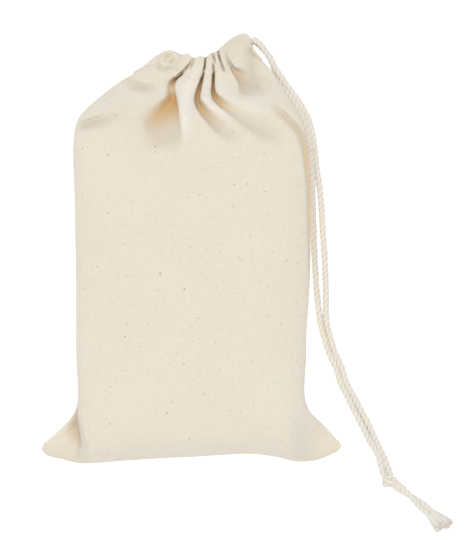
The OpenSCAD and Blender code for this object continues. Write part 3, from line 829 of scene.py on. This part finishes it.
def plan(right_neck, rim):
    """A grid through the seams and the rim, the places across it, and for each row how far up the neck it
    is and how far the cloth has rounded up from the bottom seam."""
    across = section_places()
    f = (across + 1) / 2
    t1 = corner_places()
    corners = coons(LEFT_CORNER, RIGHT_CORNER, BOTTOM_SEAM, level_line(EAR_ROOT_Y, SEAM_HEIGHT), f, t1)
    y = np.linspace(EAR_ROOT_Y, NECK_Y, BODY_ROWS + 1)[1:]
    left, right = LEFT_EDGE(y), RIGHT_EDGE(y)
    seam = SEAM_HEIGHT - 0.4 * ease(y, 34, 42)
    body = np.stack([
        left[:, None] + (right - left)[:, None] * f,
        np.repeat(y[:, None], COLUMNS, 1),
        np.repeat(seam[:, None], COLUMNS, 1),
    ], axis=-1)
    t3 = np.linspace(0, 1, NECK_ROWS + 1)[1:]
    neck = coons(LEFT_NECK, right_neck, level_line(NECK_Y, 12.6), rim, f, t3)
    grid = np.concatenate([corners, body, neck])
    row = np.arange(len(grid))
    near = ease(-np.abs(row - CORNER_ROWS), -20, -6)
    near += ease(-np.abs(row - CORNER_ROWS - BODY_ROWS - 5), -26, -10)
    blend = (0.5 * near)[1:-1, None, None]
    for _ in range(SMOOTHING):
        middle = grid[1:-1, :, :2]
        grid[1:-1, :, :2] = middle * (1 - blend) + blend * (grid[:-2, :, :2] + grid[2:, :, :2]) / 2
    share = np.concatenate([np.zeros(CORNER_ROWS + BODY_ROWS), t3])
    along = np.concatenate([bottom_rounding(t1), np.ones(BODY_ROWS + NECK_ROWS)])
    return grid, across, share, along


def corner_falloff(x, y):
    """1 over the body, 0 on the flat corners: it falls at a crease on the left, softly on the right."""
    crease = 37.5 - 0.012 * np.clip(-y - 54, 0, 11) ** 2
    soft = 0.6 + 0.35 * np.maximum(0, -y - 62.5)
    left = ease(-y, 48, 53) * ease((-x - crease) / soft, -1, 1.3)
    right = ease(-y, 50, 63) * (1 - np.exp(-(np.maximum(0, x - 32) / 6) ** 2))
    return (1 - left) * (1 - right)


def relaxed(z):
    """Heights with each point drawn halfway to the mean of its four neighbours, twice."""
    for _ in range(2):
        beside = z[:-2, 1:-1] + z[2:, 1:-1] + z[1:-1, :-2] + z[1:-1, 2:]
        z[1:-1, 1:-1] = (4 * z[1:-1, 1:-1] + beside) / 8
    return z


def front_points():
    """The front cloth's grid of points, and each point's share of painted shade (below 0 where a crest has a
    painted highlight) and of warm painted shade.
    """
    grid, across, share, along = plan(RIGHT_NECK_FRONT, FRONT_RIM)
    x, y, seam = grid[..., 0], grid[..., 1], grid[..., 2]
    toward_exit = ease(y, 50, 62) * ease(x, 8, 14)
    height = FRONT_HEIGHT(y) - 0.42 * np.maximum(0, x - 9.5) * toward_exit - 0.5 * (x / 38) ** 2
    power = 3.4 - 1.5 * ease(share, 0, 0.8)[:, None]
    section = section_height(across[None], power) * along[:, None]
    falloff = corner_falloff(x, y)
    rise = (height - seam) * section * falloff + CORNER_BULGE * section * (1 - falloff)
    mask = ease(section, 0.20, 0.75)
    near_rim = ease(share, 0.55, 0.95)[:, None]
    mask = np.maximum(mask, near_rim * ease(np.abs(across)[None], 1, 0.9))
    corner_mask = ease(x - x[:, :1], 0, 3)
    detail, shade, warm_shade = np.zeros_like(x), np.zeros_like(x), np.zeros_like(x)
    # Each fold cuts into the cloth, and its depth sets the painted shade and warm painted shade in it
    for name, points in FOLDS.items():
        deep = fold_depth(x, y, points)
        here = corner_mask if name == "left_corner" else mask
        detail -= deep * here
        deep = deep * (1 if name in ("under_cord", "left_corner") else here)
        shade_share, warm_shade_share = FOLD_PAINTED_SHADES[name]
        if name in FADING:
            shade_share = shade_share + FOOT_SHADE * (1 - ease(y, 41, 51))
            warm_shade_share = warm_shade_share * ease(y, *FADING[name]) * (1 - 0.7 * ease(x, 9, 16))
        shade += deep * shade_share
        warm_shade += deep * warm_shade_share
    curl = rosette(x, y)
    detail += curl
    # Painted shade in the rosette's groove and crease
    shade += 1.3 * np.maximum(0, -curl)
    # The steep side of the left corner's crease gets a painted highlight too, except at its foot
    lit = 4 * falloff * (1 - falloff) * (x < 0) * ease(y, -67, -61)
    for points, light in zip(CRESTS, CREST_LIGHT):
        crest = crest_height(x, y, points) * mask
        detail += crest
        lit = np.maximum(lit, light * crest / CREST_FULL)
    shade, warm_shade = np.clip(shade / SHADE_FULL, 0, 1), np.clip((warm_shade - WARM_SHADE_FROM) / WARM_SHADE_FULL, 0, 1)
    painted_light = np.stack([shade - np.clip(lit, 0, 1) * (1 - shade), warm_shade], axis=-1)
    swell = 0.30 * soft_noise(x, y * 0.6, 5, 24) + 0.08 * soft_noise(x, y * 0.7, 9, 8)
    detail += swell * mask * ease(along, 0.6, 1)[:, None] * falloff
    return np.stack([x, y, relaxed(seam + rise + detail)], axis=-1), painted_light


BACK_PLEATS = ((-8.4, -27), (-5.2, -17), (-2.6, -9), (0.2, -1), (2.8, 5), (5.6, 12), (8.2, 20))


def back_points():
    grid, across, share, along = plan(RIGHT_NECK_BACK, BACK_RIM)
    x, y, seam = grid[..., 0], grid[..., 1], grid[..., 2]
    rest = 0.35 + 0.25 * ease(np.abs(across), 0.6, 1)[None]
    power = 3.2 - 1.0 * ease(share, 0, 0.8)[:, None]
    section = section_height(across[None], power) * along[:, None]
    falloff = corner_falloff(x, y)
    drop = (seam - rest) * section * np.maximum(falloff, 0.72 * ease(section, 0, 0.9))
    drop += CORNER_BULGE * section * (1 - falloff)
    pleats = np.zeros_like(x)
    for k, (top, foot) in enumerate(BACK_PLEATS):
        pleats += fold_depth(x, y, [
            (top, 66, 0.5, 1, 1), (top, 60, 0.6, 1.1, 1.1), (0.8 * top + 0.2 * foot, 55.5, 1.9, 1.4, 1.4),
            (0.5 * top + 0.5 * foot, 50, 1.2, 2.2, 2.2), (foot, 43 - k % 3, 0, 3, 3),
        ])
    z = relaxed(seam - drop + pleats * ease(section, 0.3, 0.9))
    # Painted shade and warm painted shade in the back's pleats, by their depth
    painted_light = np.clip(pleats / WARM_SHADE_FULL, 0, 1)
    return np.stack([x, y, np.maximum(z, 0.3)], axis=-1), np.stack([painted_light, painted_light], axis=-1)


def from_rim_of(points):
    """How far each point of a panel lies from its rim, along its own column."""
    step = norm(np.diff(points, axis=0), axis=2)
    away = np.zeros(points.shape[:2])
    away[:-1] = np.cumsum(step[::-1], axis=0)[::-1]
    return away


def row_at(points, away, distance):
    """The line across a panel at one distance from its rim."""
    return np.array([
        [np.interp(distance, away[::-1, j], points[::-1, j, axis]) for axis in range(3)]
        for j in range(points.shape[1])
    ])


def rolling_mean(values, half):
    kernel = np.hanning(2 * half + 3)[1:-1]
    padded = np.pad(values, half, mode="edge")
    return np.convolve(padded, kernel / kernel.sum(), mode="valid")


def hem_gap(points, up):
    """How far apart the hem's layers stand at each column; they close at the left side seam."""
    rim = points[-1]
    if up > 0:
        open_gap = FRONT_GAP + (FRONT_END_GAP - FRONT_GAP) * ease(rim[:, 0], 9, 16)
    else:
        open_gap = np.full(len(rim), BACK_GAP)
    return open_gap * ease(lengths_along(rim), -0.4, 4.5)


def drawn_in(away, rounding):
    """How far the rounding at the rim draws the cloth in, at a distance from the rim."""
    bend = 1 - np.clip(away / np.maximum(rounding, 0.05), 0, 1)
    return rounding * (1 - np.sqrt(1 - bend ** 2))


def with_hem(points, up):
    """Turn the rim of a panel over to the inside; up is 1 on the front and -1 on the back."""
    away = from_rim_of(points)
    gap = hem_gap(points, up)
    rounding = np.minimum(RIM_ROUND, gap / 2)
    column = np.arange(points.shape[1])[:, None]
    inset = np.maximum(0, 1 - column / INSET_COLUMNS) ** 2 * LEFT_INSET
    inset = inset + np.maximum(0, 1 - column[::-1] / INSET_COLUMNS) ** 2 * RIGHT_INSET
    outer = points.copy()
    outer[..., 2] -= up * drawn_in(away, rounding)
    hem = []
    for share in np.linspace(0.25, 1, 4):
        place = points[-1].copy()
        place[:, 2] -= up * (rounding + (gap - 2 * rounding) * share)
        hem.append(place)
    for k in range(1, HEM_ROWS + 1):
        distance = HEM_SEWN * (k / HEM_ROWS) ** 1.25
        place = row_at(points, away, distance)
        level = rolling_mean(place[:, 2], 9)
        free = float(ease(distance, 0.3, 2.5) * (1 - ease(distance, 7, HEM_SEWN)))
        place[:, 2] += free * (level - place[:, 2])
        inner = gap - drawn_in(distance, rounding)
        closing = float(ease(distance, 6.2, HEM_SEWN - 0.3))
        place[:, 2] -= up * (inner * (1 - closing) + 2.2 * CLOTH_T * closing)
        place[:, :2] += inset * float(ease(distance, 0, 2))
        hem.append(place)
    return np.concatenate([outer, np.array(hem)])


def cloth_uv(points):
    """Distances along the threads, in millimetres, from the middle of the panel."""
    across = norm(np.diff(points, axis=1), axis=2)
    u = np.concatenate([np.zeros((len(points), 1)), np.cumsum(across, axis=1)], axis=1)
    u -= u[:, [COLUMNS // 2]]
    for _ in range(12):
        u[1:-1] = (u[:-2] + 2 * u[1:-1] + u[2:]) / 4
    v = running(norm(np.diff(points, axis=0), axis=2).mean(axis=1))
    return np.stack([u, np.repeat(v[:, None], points.shape[1], 1)], axis=-1)


def make_panel(name, panel, fold, material, up):
    """A panel with its hem; the inside of the hem keeps the painted light of the rim above it."""
    points = with_hem(panel, up)
    rows, cols = points.shape[:2]
    fold = np.concatenate([fold, np.repeat(fold[-1:], rows - len(fold), axis=0)])
    faces = grid_faces(rows, cols, flip=up < 0)
    piece = make_mesh(
        name, points.reshape(-1, 3), faces, material, cloth_uv(points).reshape(-1, 2), fold.reshape(-1, 2),
    )
    thick = piece.modifiers.new("thickness", "SOLIDIFY")
    thick.thickness = CLOTH_T * MM
    thick.offset = -1
    return piece


def open_with_mouth(piece):
    """The piece stays where it is, with its transform baked into its mesh."""
    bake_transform(piece)


# ---- sewing ----
STITCH, STITCH_GAP, STITCH_R = 1.9, 0.7, 0.22
STITCH_SIDES = 6
# The hem is stitched from one x to the other, this far above its lower edge
STITCHED = (-9.0, 18.0)
STITCH_EDGE = 0.5
# The bar of thread at the exit: its turns, their distance, and the lowest one's y and x
BAR_TURNS, BAR_STEP = 9, 0.22
BAR_Y, BAR_X = 64.4, 21.9
# One turn of it: x from its middle, and z
BAR_SECTION = ((-1.1, 5.9), (-0.2, 6.1), (0.35, 5.4), (-0.2, 4.7), (-1.1, 4.6))


def thread_run(line):
    """Rings of a thin thread along a line, closed at its ends."""
    outward = circles(line, STITCH_SIDES)[1]
    end = np.sin(np.linspace(0, math.pi, len(line))) ** 0.35
    return line[:, None] + STITCH_R * end[:, None, None] * outward


def threads_mesh(name, lines, material):
    points, faces = [], []
    for line in lines:
        rings = thread_run(line)
        faces += list(grid_faces(len(line), STITCH_SIDES, len(points), closed=True))
        points += rings.reshape(-1, 3).tolist()
    return make_mesh(name, points, faces, material, np.array(points)[:, :2], np.zeros((len(points), 2)))


def hem_stitches(name, panel, up, material):
    """Stitches along the hem of a panel, that sink into the cloth at their ends."""
    row = row_at(panel, from_rim_of(panel), HEM_SEWN - STITCH_EDGE)
    row = row[(row[:, 0] > STITCHED[0]) & (row[:, 0] < STITCHED[1])]
    for axis in range(3):
        row[:, axis] = rolling_mean(row[:, axis], 1)
    line = evenly(row, 0.2)
    span, pitch = int(STITCH / 0.2), int((STITCH + STITCH_GAP) / 0.2)
    runs = []
    for start in range(0, len(line) - span, pitch):
        part = line[start:start + span + 1].copy()
        part[:, 2] += up * 0.16 * (np.sin(np.linspace(0, math.pi, len(part))) ** 0.5 - 0.35)
        runs.append(part)
    return threads_mesh(name, runs, material)


def make_sewing(front, back, material):
    stitches = hem_stitches("front_hem_stitches", front, 1, material)
    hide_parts("front_casing_stitching", "casing_end_stitching")
    under = hem_stitches("back_hem_stitches", back, -1, material)
    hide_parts("back_casing_stitching")
    bar = []
    for k in range(BAR_TURNS):
        y = BAR_Y + BAR_STEP * k
        middle = BAR_X - 0.40 * (y - BAR_Y)
        bar.append(evenly(np.array([(middle + dx, y, z) for dx, z in BAR_SECTION]), 0.25))
    bartack = threads_mesh("exit_bar", bar, material)
    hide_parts("exit_bartack")
    for piece in (stitches, under, bartack):
        open_with_mouth(piece)


def make_hidden_run(material):
    """The part of the drawstring inside the hem: along the front, round the closed end, and back."""
    route = [
        HEM_END_A[0], (8.6, 61.4, 10.8), (6.4, 60.2, 10.7), (3, 59.4, 10.7), (-1, 59.6, 10.7),
        (-5, 60.4, 10.4), (-8.6, 61.2, 9.4), (-10.6, 61.4, 7.2), (-10.4, 61.2, 4.6), (-8, 60.8, 2.8),
        (-4, 60, 2.3), (0, 59, 2.2), (4, 58.8, 2.2), (7.4, 60.2, 2.2), HEM_END_B[0],
    ]
    piece = rope_mesh("drawstring_in_hem", [rope_rings(spline(route, 0.4), CORD_D / 2, 0.3)], material)
    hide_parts("drawstring_front_run", "drawstring_back_run")
    open_with_mouth(piece)


def make_sack(material):
    front, front_painted_light = front_points()
    back, back_painted_light = back_points()
    panel = make_panel("front_cloth", front, front_painted_light, material, 1)
    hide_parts("front_panel", "front_gather", "right_flank", "front_casing", "front_casing_end")
    rear = make_panel("back_cloth", back, back_painted_light, material, -1)
    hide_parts("back_panel", "back_casing", "back_casing_end")
    for piece in (panel, rear):
        open_with_mouth(piece)
    return front, back


def make_floor():
    """A white surface that shows no shadow, as the sack stands cut out on plain white."""
    material, _ = new_material("floor", 0.9, 0, {
        "Base Color": (0, 0, 0, 1), "Specular IOR Level": 0,
        "Emission Color": (1, 1, 1, 1), "Emission Strength": 1.12,
    })
    mesh = bpy.data.meshes.new("floor")
    mesh.from_pydata([(-2, -2, 0), (2, -2, 0), (2, 2, 0), (-2, 2, 0)], [], [(0, 1, 2, 3)])
    mesh.materials.append(material)
    floor = new_object("floor", mesh)


# ---- put together ----
make_camera()
make_lights()
make_floor()
CORD_MATERIAL = cotton("cotton_cord", *CORD_TONES)
THREAD_MATERIAL = cotton("cotton_thread", *THREAD_TONES)
make_drawstring(CORD_MATERIAL)
make_hidden_run(CORD_MATERIAL)
front_grid, back_grid = make_sack(muslin("muslin", "cloth"))
make_sewing(front_grid, back_grid, THREAD_MATERIAL)
SEAM_MATERIAL = muslin("seam_muslin")
for node in ("left_seam", "right_seam", "bottom_seam"):
    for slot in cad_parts[node].material_slots:
        slot.material = SEAM_MATERIAL
